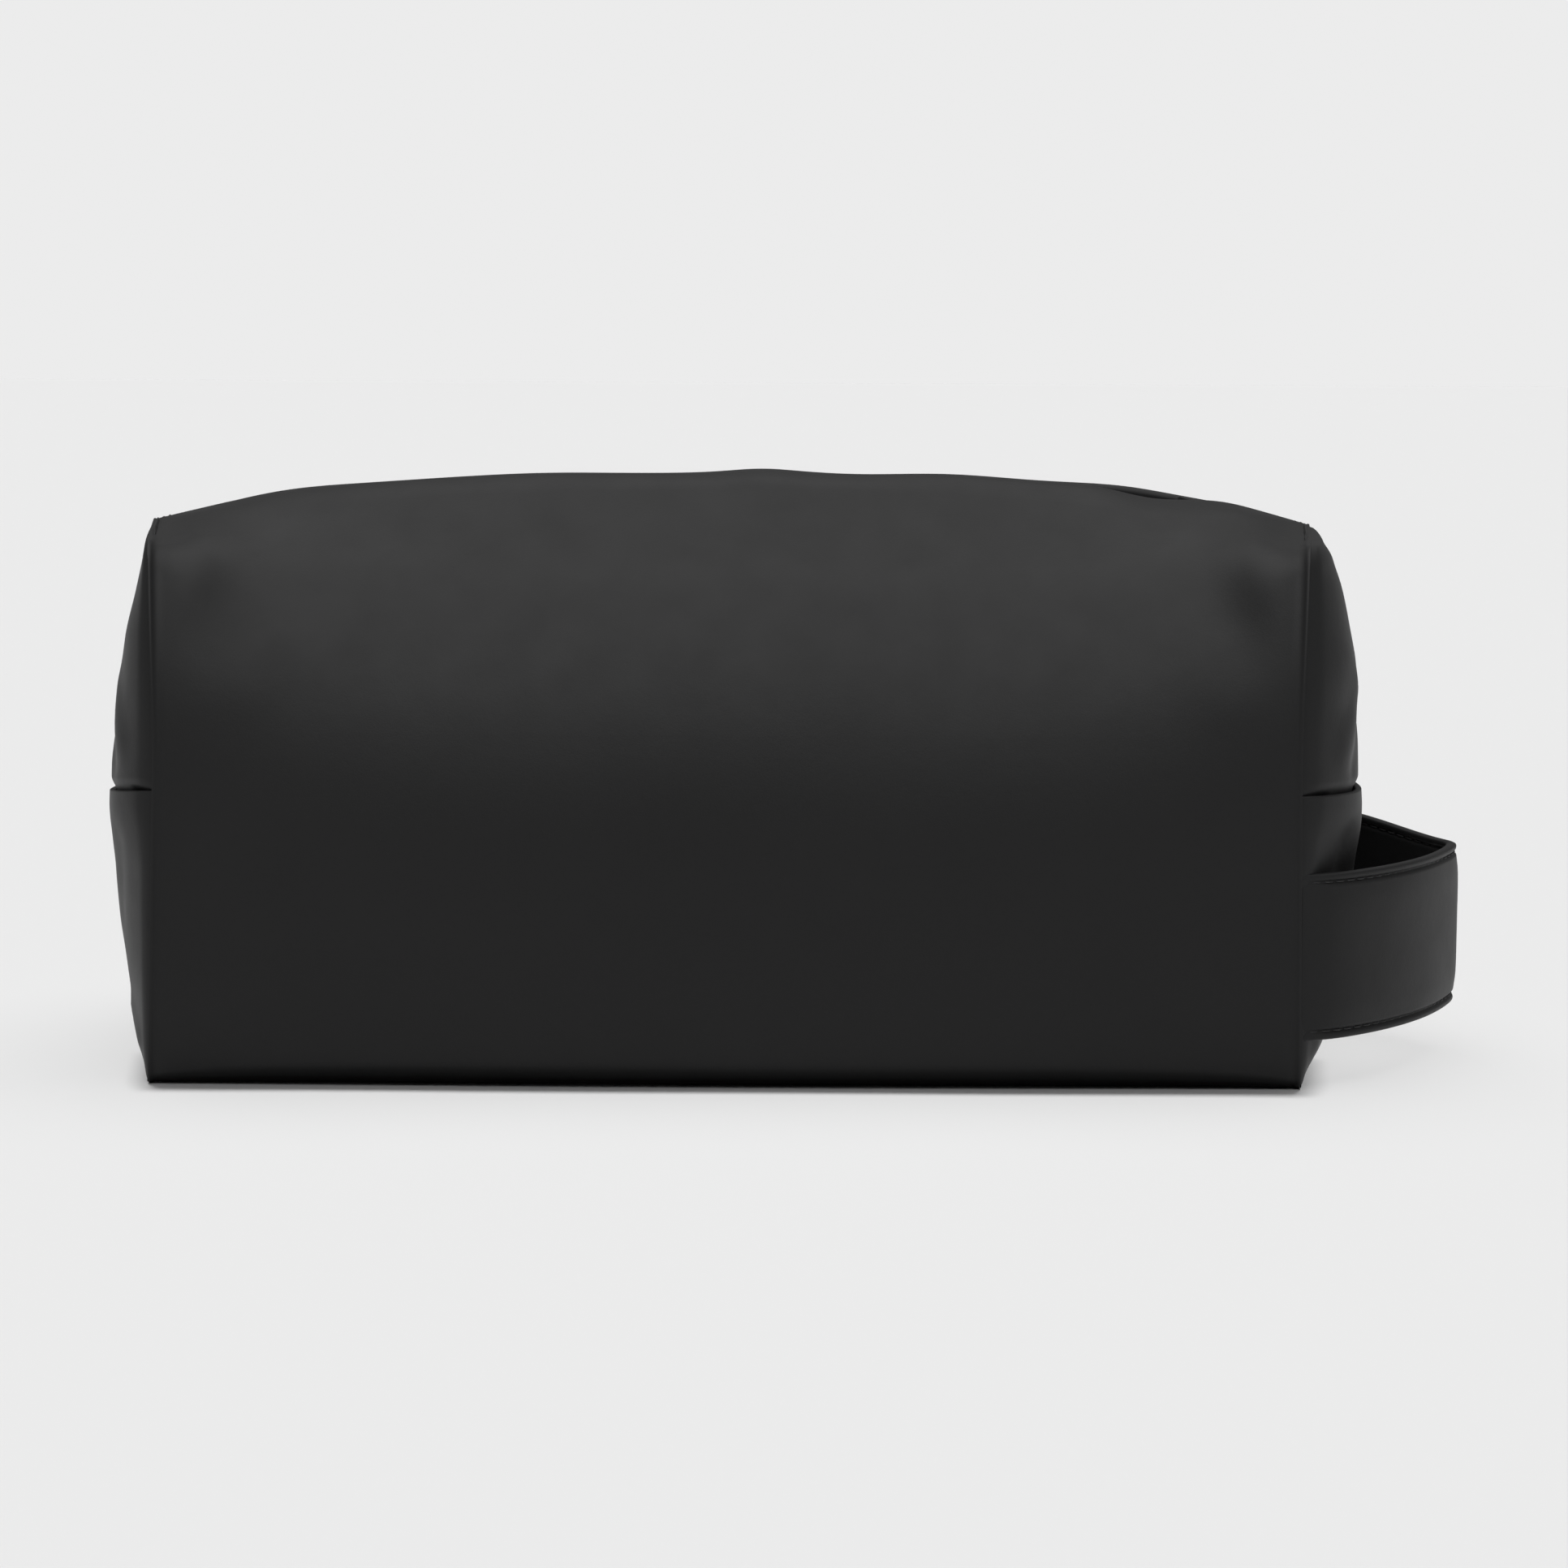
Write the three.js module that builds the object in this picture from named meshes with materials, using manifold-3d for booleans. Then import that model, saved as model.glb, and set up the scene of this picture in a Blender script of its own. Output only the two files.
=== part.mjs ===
// Shaving kit bag: a soft box of coated fabric with a zip along its ridge and a strap loop on one end.
// Millimetres, +Z up, front towards -Y, strap towards +X, origin on the floor under the middle of the base.
import * as THREE from "three";
import { mergeVertices } from "three/addons/utils/BufferGeometryUtils.js";
import Module from "manifold-3d";

const wasm = await Module();
wasm.setup();

// ---- Driving dimensions -------------------------------------------------------------------------------
const HALF_WIDTH = 130; // middle to the end seams
const HALF_DEPTH = 56.5; // middle to the front wall, at the end seams
const BELLY = 2.5; // how far the front and back walls bow out midway
const CREST = 139.2; // where the two halves of the roof would meet
const CREST_DROP = 12.6; // how much lower that is at the very ends
const CREST_REACH = 139;
const CREST_POWER = 3.2;
const FLARE_TOP = 8; // the ends of the ridge lean out by this much
const FLARE_FOOT = 2.4; // and so do the end seams at the foot
const FLARE_Z = 75;

// The section is a tent in the middle and nearly a box at the end seams.
const BOXY_POWER = 5;
const WALL_TOP = { middle: 50, end: 74 }; // where the wall starts to lean in
const BEND_Z = { middle: 85, end: 118 }; // where it starts to turn into the roof
const WALL_RADIUS = 95; // of the lean between the two
const ROOF_LEAN = { middle: 46, end: 84 }; // degrees from upright
const BROW_RADIUS = { middle: 18, end: 60 };
const FOOT_RADIUS = 6;
const LIP_Y = 6; // where the roof turns down beside the zip
const LIP_RADIUS = 1.5;
const HEM = 4;
const HINGE_Z = 80; // fold line of the opening roof halves

const CLOTH = 1.2; // coated fabric with its backing
const LINING = 0.6;
const GAP = 0.3;
const LINING_GAP = 0.4;
const FLAP_U = 0.877; // share of the half width that opens
const FIXED_U = 0.886;
const HINGE_GAP = 0.01; // in stations, about 0.4 mm

const BULGE = { left: 15, right: 18 }; // how far the end panels stand out
const END_SPLIT = 68; // height of the lap across each end
const LAP = 2.2;
const LAP_FADE = { from: 22, to: 4 }; // below the lap, where the lower panel rises over the upper one
const PANEL_CLEAR = 0.05;
const LOWER_INSET = 3; // how far the lower panel and the lining keep off the seams
const LINING_INSET = 5.5;

const TAPE_DROP = 5; // the tapes lie this far under the lips
const TAPE_SLOPE = 0.35;
const TAPE_EDGE = 1.3;
const TAPE_WIDTH = 12.7;
const TAPE = 0.8;
const TAPE_HALF = 118; // half the length that opens
const TEETH = { half: 114, pitch: 4, length: 1.6, cord: 3.2, root: 0.9, tip: -0.6, top: 2.9, bottom: 4.7 };

const ZIP_END_X = 136;
const ZIP_END = { from: 122.6, middle: 127, slot: 135.4, to: 136.8, half: 14 };
const STOP = { from: 135.5, left: 136.7, length: 1.2, half: 2.6, height: 2.2 };
const SLIDER = { x: 129, half: 5.5, side: 3.6, post: 1.5, postSide: 0.8 };
const BAIL = { back: 3.4, front: 2.4, wire: 1 };
const PULL = {
  bar: 0.45, // half the thickness of the bar and arms
  reach: 2.4,
  arms: 7.5,
  neck: 6.5,
  neckHalf: 2.5,
  shoulder: 9.5,
  half: 3.3,
  far: 23,
  thick: 1.2,
};
const PULL_TILT = 17.4; // the pull lies up the slope of the ridge
const PULL_BACK = 0.5; // its bar hangs this far behind the slider's middle
const PULL_DROP = 0.85;
const STRAP = { bottom: 10.8, height: 38.4, droop: 1.5, layer: 1.1, stub: 23, relief: 4.6 };

// ---- Helpers ------------------------------------------------------------------------------------------
const mix = (a, b, t) => a + (b - a) * t;
const rad = THREE.MathUtils.degToRad;
const spaced = (from, to, cells) => Array.from({ length: cells + 1 }, (_, k) => mix(from, to, k / cells));
const grid = (rows, columns, point) => rows.map((v) => columns.map((u) => point(u, v)));

// The closed sheet between two grids of points, made of the cells that keep(column, row) accepts.
function sheet(outer, inner, keep = () => true) {
  const has = (i, j) => i >= 0 && j >= 0 && i < outer[0].length - 1 && j < outer.length - 1 && keep(i, j);
  const corners = [];
  const triangle = (...points) => corners.push(...points);
  for (let j = 0; j < outer.length - 1; j++)
    for (let i = 0; i < outer[0].length - 1; i++) {
      if (!has(i, j)) continue;
      const ring = [[i, j], [i + 1, j], [i + 1, j + 1], [i, j + 1]];
      const [a, b, c, d] = ring.map(([x, y]) => outer[y][x]);
      const [e, f, g, h] = ring.map(([x, y]) => inner[y][x]);
      triangle(a, b, c);
      triangle(a, c, d);
      triangle(e, g, f);
      triangle(e, h, g);
      const sides = [
        [a, b, e, f, i, j - 1],
        [b, c, f, g, i + 1, j],
        [c, d, g, h, i, j + 1],
        [d, a, h, e, i - 1, j],
      ];
      for (const [p, q, r, s, ni, nj] of sides) {
        if (has(ni, nj)) continue;
        triangle(q, p, r);
        triangle(q, r, s);
      }
    }
  let volume = 0;
  for (let k = 0; k < corners.length; k += 3)
    volume += corners[k].dot(corners[k + 1].clone().cross(corners[k + 2]));
  if (volume < 0)
    for (let k = 0; k < corners.length; k += 3) [corners[k], corners[k + 1]] = [corners[k + 1], corners[k]];
  return new THREE.BufferGeometry().setFromPoints(corners);
}

// Several closed geometries joined into one.
function join(...geometries) {
  const solids = geometries.map((geometry) => {
    const bare = geometry.clone();
    bare.deleteAttribute("normal");
    bare.deleteAttribute("uv");
    const merged = mergeVertices(bare, 1e-4);
    const mesh = new wasm.Mesh({
      numProp: 3,
      vertProperties: merged.attributes.position.array,
      triVerts: new Uint32Array(merged.index.array),
    });
    return new wasm.Manifold(mesh);
  });
  const joined = solids.reduce((whole, solid) => whole.add(solid)).getMesh();
  const made = new THREE.BufferGeometry();
  made.setAttribute("position", new THREE.BufferAttribute(joined.vertProperties, 3));
  made.setIndex(new THREE.BufferAttribute(joined.triVerts, 1));
  return made;
}

const box = (x0, x1, y0, y1, z0, z1) =>
  new THREE.BoxGeometry(x1 - x0, y1 - y0, z1 - z0).translate((x0 + x1) / 2, (y0 + y1) / 2, (z0 + z1) / 2);

// ---- The shell's section --------------------------------------------------------------------------------
const crestAt = (x) => CREST - CREST_DROP * (Math.abs(x) / CREST_REACH) ** CREST_POWER;
const lipHeight = (x) => crestAt(x) - 1;

// Stretches of the front half's outline at u (-1 to 1 across the bag), from the foot to the zip:
// foot, wall, shoulder, crown, corner, roof, brow, lip and hem, each with its length and inward turn.
// Shoulder and crown are one arc, cut at the hinge line.
function section(u) {
  const boxy = Math.abs(u) ** BOXY_POWER;
  const blend = ({ middle, end }) => mix(middle, end, boxy);
  const wallTop = blend(WALL_TOP);
  const lean = rad(blend(ROOF_LEAN));
  const brow = blend(BROW_RADIUS);
  const depth = HALF_DEPTH + BELLY * (1 - u * u);
  const hinge = Math.asin((HINGE_Z - wallTop) / WALL_RADIUS);
  const bend = Math.asin((blend(BEND_Z) - wallTop) / WALL_RADIUS);
  const reach = depth - WALL_RADIUS * (1 - Math.cos(bend)) - brow * Math.cos(lean);
  const rise = crestAt(u * (HALF_WIDTH + FLARE_TOP)) - brow * (1 - Math.sin(lean)) - blend(BEND_Z);
  const across = Math.cos(bend) - Math.cos(lean);
  const up = Math.sin(lean) - Math.sin(bend);
  const turned = 1 - Math.cos(lean - bend);
  const corner = (rise * Math.sin(lean) - reach * Math.cos(lean)) / turned;
  const roof = (reach * up - rise * across) / turned;
  const browEnd = Math.acos(LIP_Y / brow);
  return {
    depth,
    stretches: [
      { length: (FOOT_RADIUS * Math.PI) / 2, turn: Math.PI / 2 },
      { length: wallTop - FOOT_RADIUS, turn: 0 },
      { length: WALL_RADIUS * hinge, turn: hinge },
      { length: WALL_RADIUS * (bend - hinge), turn: bend - hinge },
      { length: corner * (lean - bend), turn: lean - bend },
      { length: roof, turn: 0 },
      { length: brow * (browEnd - lean), turn: browEnd - lean },
      { length: LIP_RADIUS * (Math.PI - browEnd), turn: Math.PI - browEnd },
      { length: HEM, turn: 0 },
    ],
  };
}

// A point of the outer surface: station v counts the stretches, and side is -1 in front and 1 behind.
function shellPoint(side, u, v) {
  const { depth, stretches } = section(u);
  let y = FOOT_RADIUS - depth;
  let z = 0;
  let heading = -Math.PI / 2;
  for (let k = 0, left = v; k < stretches.length && left > 0; k++, left--) {
    const share = Math.min(left, 1);
    const length = stretches[k].length * share;
    const turn = stretches[k].turn * share;
    const chord = turn ? (length * Math.sin(turn / 2)) / (turn / 2) : length;
    y += chord * Math.sin(heading + turn / 2);
    z += chord * Math.cos(heading + turn / 2);
    heading += turn;
  }
  const foot = FLARE_FOOT * Math.max(0, 1 - z / FLARE_Z);
  const top = z > FOOT_RADIUS ? FLARE_TOP * Math.max(0, (depth + y) / depth) ** 0.75 : 0;
  return new THREE.Vector3(u * (HALF_WIDTH + foot + top), -side * y, z);
}

function shellNormal(side, u, v) {
  const step = 1e-3;
  const across = shellPoint(side, u + step, v).sub(shellPoint(side, u - step, v));
  const up = shellPoint(side, u, v + step).sub(shellPoint(side, u, Math.max(0, v - step)));
  return across.cross(up).normalize().multiplyScalar(-side);
}

// The surface a given depth under the outer one.
const under = (side, depth) => (u, v) =>
  shellPoint(side, u, v).addScaledVector(shellNormal(side, u, v), -depth);

const END_CELLS = 3; // cells of each standing end
const FIXED_COLUMNS = [-0.998, -0.965, -0.93, ...spaced(-FIXED_U, FIXED_U, 16), 0.93, 0.965, 0.998];
const LINING_COLUMNS = [-0.982, -0.965, -0.93, ...spaced(-FIXED_U, FIXED_U, 16), 0.93, 0.965, 0.982];
const FLAP_COLUMNS = spaced(-FLAP_U, FLAP_U, 16);
const WALL_ROWS = [0, 0.5, 1, 1.5, 2, 2.5, 3];
const ROOF_ROWS = [3.5, 4, 4.33, 4.67, 5, 6, 7, 7.5, 8, 9];
const LINING_WALL_ROWS = [1.1, 1.5, 2, 2.5, 3];
const LINING_ROOF_ROWS = [3.5, 4, 4.33, 4.67, 5, 6];

// The wall with the standing ends of the roof on both sides of the opening half.
function fixedSheet(side, columns, wallRows, roofRows, depth, thickness) {
  const rows = [...wallRows, ...roofRows];
  const last = columns.length - 1 - END_CELLS;
  const keep = (i, j) => j < wallRows.length - 1 || i < END_CELLS || i >= last;
  const level = (below) => grid(rows, columns, under(side, below));
  return sheet(level(depth), level(depth + thickness), keep);
}

function flapSheet(side, roofRows, depth, thickness) {
  const rows = [3 + HINGE_GAP, ...roofRows];
  const level = (below) => grid(rows, FLAP_COLUMNS, under(side, below));
  return sheet(level(depth), level(depth + thickness));
}

// ---- End panels -----------------------------------------------------------------------------------------
function bulgeAt(end, z) {
  const most = end < 0 ? BULGE.left : BULGE.right;
  const above = CREST - CREST_DROP - END_SPLIT;
  const away = z < END_SPLIT ? (END_SPLIT - z) / END_SPLIT : (z - END_SPLIT) / above;
  const body = z < END_SPLIT ? 1 - 0.67 * away ** 2 : 1 - 0.8 * Math.min(1, away) ** 2.5;
  const tuck = 1 - 0.85 * Math.max(0, 1 - z / 10) ** 3;
  return most * body * tuck;
}

// A point across the end: p runs from the front seam (-1) to the rear one (1), v is the seam's station.
// It lies out(high) millimetres outside the seam, with high 1 at the lap and 0 well below it, and keeps inset
// millimetres off the front and rear seams.
const endPoint = (end, out, inset) => (p, v) => {
  const seam = shellPoint(-1, 1, v);
  const high = THREE.MathUtils.smoothstep(seam.z, END_SPLIT - LAP_FADE.from, END_SPLIT - LAP_FADE.to);
  const across = p * (1 + inset / seam.y);
  const bulge = bulgeAt(end, seam.z) * (1 - Math.abs(across) ** mix(2.8, 4, high));
  return new THREE.Vector3(end * (seam.x + bulge + out(high)), -across * seam.y, seam.z);
};

function endSheet(end, rows, inset, out, thickness) {
  const columns = [-1, -0.85, -0.65, -0.4, 0, 0.4, 0.65, 0.85, 1];
  const inner = (high) => out(high) - thickness;
  const level = (stand) => grid(rows, columns, endPoint(end, stand, inset));
  return sheet(level(out), level(inner));
}

// The station of a height on the seam's upright stretch.
const stationAt = (z) => 1 + (z - FOOT_RADIUS) / (WALL_TOP.end - FOOT_RADIUS);

// ---- Zip ------------------------------------------------------------------------------------------------
// A tape's top: t runs from the edge beside the teeth (0) to the sewn edge (1).
const tapePoint = (side, drop) => (x, t) =>
  new THREE.Vector3(
    x,
    side * (TAPE_EDGE + TAPE_WIDTH * t),
    lipHeight(x) - TAPE_DROP - TAPE_SLOPE * TAPE_WIDTH * t - drop,
  );

function zipTape(side) {
  const columns = spaced(-TAPE_HALF, TAPE_HALF, 16);
  return sheet(grid([0, 1], columns, tapePoint(side, 0)), grid([0, 1], columns, tapePoint(side, TAPE)));
}

// One row of teeth on its cord; the two rows mesh with half a pitch between them.
function zipTeeth(side) {
  const columns = [];
  const shift = side < 0 ? 0 : TEETH.pitch / 2;
  for (let x = shift - TEETH.half; x <= TEETH.half; x += TEETH.pitch) columns.push(x, x + TEETH.length);
  const level = (drop) => (x, y) => new THREE.Vector3(x, side * y, lipHeight(x) - drop);
  const rows = [TEETH.cord, TEETH.root, TEETH.tip];
  const isTooth = (i, j) => j === 0 || i % 2 === 0;
  return sheet(grid(rows, columns, level(TEETH.top)), grid(rows, columns, level(TEETH.bottom)), isTooth);
}

const lift = (z) => lipHeight(ZIP_END_X) + z; // heights beside the standing ends of the zip

// The standing end of the tape: both halves with the slider's slot between them, joined at the seam.
function zipEnd(end) {
  const columns = [ZIP_END.from, ZIP_END.middle, ZIP_END.slot, ZIP_END.to];
  const rows = [-ZIP_END.half, -TAPE_EDGE, TAPE_EDGE, ZIP_END.half];
  const point = (drop) => (x, y) => {
    const fall = TAPE_SLOPE * Math.max(0, Math.abs(y) - TAPE_EDGE);
    return new THREE.Vector3(end * x, y, lift(-TAPE_DROP - fall - drop));
  };
  return sheet(grid(rows, columns, point(0)), grid(rows, columns, point(TAPE)), (i, j) => j !== 1 || i === 2);
}

function zipStop(end) {
  const near = end < 0 ? -STOP.left : STOP.from;
  const [low, high] = [GAP, STOP.height].map((rise) => lift(rise - TAPE_DROP));
  return box(near, near + STOP.length, -STOP.half, STOP.half, low, high);
}

// Two plates joined by a post, with the bail that holds the pull on top.
function sliderBody() {
  const { x, half, side, post, postSide } = SLIDER;
  const plate = (low, high) => box(x - half, x + half, -side, side, lift(low), lift(high));
  const core = box(x - post, x + post, -postSide, postSide, lift(-7.5), lift(-2.2));
  const leg = (near) => box(x + near, x + near + BAIL.wire, -BAIL.wire, BAIL.wire, lift(-2.2), lift(0.5));
  const arch = box(x - BAIL.back, x + BAIL.front, -BAIL.wire, BAIL.wire, lift(-0.1), lift(0.6));
  return join(plate(-2.6, -1.8), plate(-8.2, -7.2), core, leg(-BAIL.back), leg(BAIL.front - BAIL.wire), arch);
}

// The pull hangs from the bar at its own origin and points along -X.
function zipPull() {
  const { bar, reach, arms, neck, neckHalf, shoulder, half, far, thick } = PULL;
  const arm = (side) => box(-arms, bar, side * 2 - 0.5, side * 2 + 0.5, -bar, bar);
  const tab = new THREE.Shape();
  tab.moveTo(-neck, -neckHalf);
  tab.lineTo(-neck, neckHalf);
  tab.quadraticCurveTo(-8, half, -shoulder, half);
  tab.lineTo(half - far, half);
  tab.absarc(half - far, 0, half, Math.PI / 2, (3 * Math.PI) / 2, false);
  tab.lineTo(-shoulder, -half);
  tab.quadraticCurveTo(-8, -half, -neck, -neckHalf);
  const plate = new THREE.ExtrudeGeometry(tab, { depth: thick, bevelEnabled: false, curveSegments: 6 });
  return join(arm(-1), arm(1), box(-bar, bar, -reach, reach, -bar, bar), plate.translate(0, 0, -thick / 2));
}

// ---- Strap ----------------------------------------------------------------------------------------------
// Plan of the loop's outer face: out from the seam and back from the front wall.
const STRAP_PLAN = [
  [2.2, -1.6], [9, 2.4], [20, 14], [32, 28.5], [40.3, 43], [44.8, 54.5], [45.4, 58.5],
  [43.5, 64.5], [39.5, 76], [34, 89], [26, 101.5], [14, 110.9], [2.2, 114.6],
];
const strapCurve = new THREE.CatmullRomCurve3(
  STRAP_PLAN.map(([out, back]) => new THREE.Vector3(HALF_WIDTH + out, back - HALF_DEPTH, 0)),
  false,
  "centripetal",
);
const STRAP_LENGTH = strapCurve.getLength();

// A point of the loop: s along it in millimetres, t up it, depth under the outer face.
const strapPoint = (depth, start) => (s, t) => {
  const at = typeof start === "function" ? start(s, t) : s;
  const share = THREE.MathUtils.clamp(at / STRAP_LENGTH, 0, 1);
  const tangent = strapCurve.getTangentAt(share);
  const point = strapCurve.getPointAt(share);
  const inward = new THREE.Vector3(-tangent.y, tangent.x, 0);
  const droop = STRAP.droop * Math.sin(Math.PI * share) ** 2;
  point.addScaledVector(inward, depth).setZ(STRAP.bottom + STRAP.height * t - droop);
  return point;
};

const STRAP_ROWS = spaced(0, 1, 4);
// A sewn end: one layer thick in the seam, and as thick as the loop where the loop starts.
function strapStub(from, to) {
  const columns = spaced(from, to, 5);
  const depth = (s) => {
    const away = Math.min(s, STRAP_LENGTH - s);
    return STRAP.layer + (STRAP.layer + GAP) * THREE.MathUtils.smoothstep(away, 0, 10);
  };
  const inner = (s, t) => strapPoint(depth(s))(s, t);
  return sheet(grid(STRAP_ROWS, columns, strapPoint(0)), grid(STRAP_ROWS, columns, inner));
}

// The free loop's ends are cut to a shallow V, so that it can swing clear of the sewn ends.
function strapLayer(depth) {
  const columns = spaced(0, 1, 26);
  const place = (share, t) => {
    const inset = STRAP.stub + 0.4 + STRAP.relief * Math.abs(2 * t - 1);
    return mix(inset, STRAP_LENGTH - inset, share);
  };
  return sheet(
    grid(STRAP_ROWS, columns, strapPoint(depth, place)),
    grid(STRAP_ROWS, columns, strapPoint(depth + STRAP.layer, place)),
  );
}

// ---- Base -----------------------------------------------------------------------------------------------
function basePanel() {
  const point = (z) => (u, t) => {
    const { depth } = section(u);
    return new THREE.Vector3(u * (HALF_WIDTH + FLARE_FOOT), t * (depth - FOOT_RADIUS - 0.4), z);
  };
  const columns = spaced(-0.998, 0.998, 14);
  return sheet(grid([-1, 1], columns, point(0)), grid([-1, 1], columns, point(CLOTH)));
}

// ---- Materials ------------------------------------------------------------------------------------------
const finish = (color, roughness, metalness = 0) =>
  new THREE.MeshStandardMaterial({ color, roughness, metalness });
const COATED = finish(0x2a2a2b, 0.55);
const LINED = finish(0x1c1c1e, 0.8);
const WOVEN = finish(0x161617, 0.75);
const NYLON = finish(0x101011, 0.45);
const GUNMETAL = finish(0x2c2c2e, 0.35, 0.9);
const BOARD = finish(0x3a3a3a, 0.7);

// ---- Assembly -------------------------------------------------------------------------------------------
const bag = new THREE.Group();
const add = (name, geometry, material) => {
  const mesh = new THREE.Mesh(geometry, material);
  mesh.name = name;
  bag.add(mesh);
  return mesh;
};

for (const [name, side] of [["front", -1], ["back", 1]]) {
  const liningDepth = CLOTH + LINING_GAP;
  add(`${name}_panel`, fixedSheet(side, FIXED_COLUMNS, WALL_ROWS, ROOF_ROWS, 0, CLOTH), COATED);
  add(
    `${name}_lining`,
    fixedSheet(side, LINING_COLUMNS, LINING_WALL_ROWS, LINING_ROOF_ROWS.slice(0, -1), liningDepth, LINING),
    LINED,
  );
  add(`${name}_top_panel`, flapSheet(side, ROOF_ROWS, 0, CLOTH), COATED);
  add(`${name}_top_lining`, flapSheet(side, LINING_ROOF_ROWS, liningDepth, LINING), LINED);
  add(`${name}_zip_tape`, zipTape(side), WOVEN);
  add(`${name}_zip_teeth`, zipTeeth(side), NYLON);
}

add("base_panel", basePanel(), COATED);
add("base_board", box(-124, 124, -45, 45, 1.5, 3), BOARD);
add("base_lining", box(-126.5, 126.5, -50.5, 50.5, 3.3, 3.9), LINED);

for (const [name, end] of [["left", -1], ["right", 1]]) {
  const lower = [0, 0.5, 1, ...[18, 30, 46, 55, END_SPLIT - 4, END_SPLIT + 0.6].map(stationAt)];
  const upper = [stationAt(END_SPLIT - LAP), 2, 2.5, 3, 3.5, 4, ...ROOF_ROWS.slice(2, 7)];
  const lined = [0.75, 1, ...spaced(FOOT_RADIUS, END_SPLIT, 4).slice(1).map(stationAt), 3, 3.5, 3.9];
  const flat = () => CLOTH + PANEL_CLEAR;
  const lapped = (high) => flat() + (CLOTH + 2 * GAP) * high;
  const inside = () => -1;
  add(`${name}_end_lower_panel`, endSheet(end, lower, LOWER_INSET, lapped, CLOTH), COATED);
  add(`${name}_end_upper_panel`, endSheet(end, upper, 0, flat, CLOTH), COATED);
  add(`${name}_end_lining`, endSheet(end, lined, LINING_INSET, inside, LINING), LINED);
  add(`${name}_zip_end`, zipEnd(end), WOVEN);
  add(`${name}_zip_stop`, zipStop(end), GUNMETAL);
}

add("zip_slider", sliderBody(), GUNMETAL);
const pull = add("zip_pull", zipPull(), GUNMETAL);
pull.position.set(SLIDER.x - PULL_BACK, 0, lift(-PULL_DROP));
pull.rotation.y = rad(PULL_TILT);

add("strap_front_anchor", strapStub(0, STRAP.stub), COATED);
add("strap_rear_anchor", strapStub(STRAP_LENGTH - STRAP.stub, STRAP_LENGTH), COATED);
add("strap_face", strapLayer(0), COATED);
add("strap_backing", strapLayer(STRAP.layer + GAP), COATED);

export default bag;
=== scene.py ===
"""A shaving kit bag in matte coated fabric: soft panels, lapped ends, strap loop, zip and lining.

Metres, in the CAD frame: front towards -Y, strap towards +X, origin on the floor under the base.
"""

import math

import bpy
import numpy as np
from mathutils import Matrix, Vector


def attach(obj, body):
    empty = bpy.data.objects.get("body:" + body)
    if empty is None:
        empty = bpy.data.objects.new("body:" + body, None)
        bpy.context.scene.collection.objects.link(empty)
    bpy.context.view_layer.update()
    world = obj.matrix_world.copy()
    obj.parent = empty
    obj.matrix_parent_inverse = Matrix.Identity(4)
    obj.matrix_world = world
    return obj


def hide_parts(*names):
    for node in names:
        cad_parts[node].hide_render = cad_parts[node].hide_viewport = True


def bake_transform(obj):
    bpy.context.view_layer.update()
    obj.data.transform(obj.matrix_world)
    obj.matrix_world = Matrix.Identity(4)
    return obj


MM = 0.001
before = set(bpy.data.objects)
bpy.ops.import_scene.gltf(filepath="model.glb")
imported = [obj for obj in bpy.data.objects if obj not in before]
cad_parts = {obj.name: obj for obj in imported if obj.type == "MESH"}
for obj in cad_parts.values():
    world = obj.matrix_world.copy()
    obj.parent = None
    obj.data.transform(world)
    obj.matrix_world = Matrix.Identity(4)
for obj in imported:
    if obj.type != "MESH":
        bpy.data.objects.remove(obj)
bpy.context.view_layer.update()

# ---- Driving dimensions, in millimetres ----------------------------------------------------------
HALF_WIDTH = 130.0
HALF_DEPTH = 56.5
BELLY = 2.5
CREST = 139.2
CREST_DROP = 12.6
CREST_REACH = 139.0
CREST_POWER = 3.2
FLARE_TOP = 8.0
FLARE_FOOT = (2.0, 1.0)  # left, right
FLARE_Z = 75.0
BOXY_POWER = 5
WALL_TOP = (50.0, 74.0)  # middle, end
BEND_Z = (85.0, 118.0)
WALL_RADIUS = 95.0
ROOF_LEAN = (46.0, 84.0)
BROW_RADIUS = (18.0, 60.0)
FOOT_RADIUS = (6.0, 2.2)  # middle, end
LIP_Y = 6.0
LIP_RADIUS = 1.5
HEM = 4.0
EDGE_U = 0.965
HINGE = (57.2, 80.0)  # y and z of the roof halves' hinge lines
CLOTH = 1.2
BULGE = {-1: 15.0, 1: 18.0}
END_SPLIT = 68.0
END_TOP = 126.3
TOP_ROUND = 7.0
SEWN_DEPTH = 0.85  # how far behind the front panel's face an end panel's edge is sewn
LAP_TOP = 67.2
SLIDER_ROOM = 0.9  # the end panels stand out a little where the slider stops
LIP_OUT = {-1: 0.75, 1: 1.1}
LAP_SAG = {-1: 3.5, 1: 1.2}  # the lower panels' top edges hang this much midway
TAPE_DROP = 5.0
ZIP_END_X = 136.0
STRAP_PLAN = (
    (0.2, 1.0), (9, 4.4), (20, 13.5), (32, 28.5), (40.3, 43), (45.3, 55.2), (45.5, 58.6),
    (42.6, 64.5), (36.2, 76), (28.8, 88), (20.5, 99.5), (11, 108.4), (0.2, 112.1),
)
STRAP_BOTTOM = 10.8
STRAP_HEIGHT = 38.4
STRAP_LIFT = 0.5
STRAP_REAR = (1.8, 3.2)  # rise behind the fold, and towards the rear seam
BASE_LINING_INSET = 3.6
STRAP_THICK = 2.5
PITCH = 6.21
ROLL = 0.3
BACKDROP = 0.838
FLOOR_WHITE = 0.8
STEEP = 0.68  # share of the floor's light that falls steeply
DIM = 0.235
BRIGHT = 0.6


# ---- Small maths ---------------------------------------------------------------------------------
def mix(a, b, t):
    return a + (b - a) * t


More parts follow.
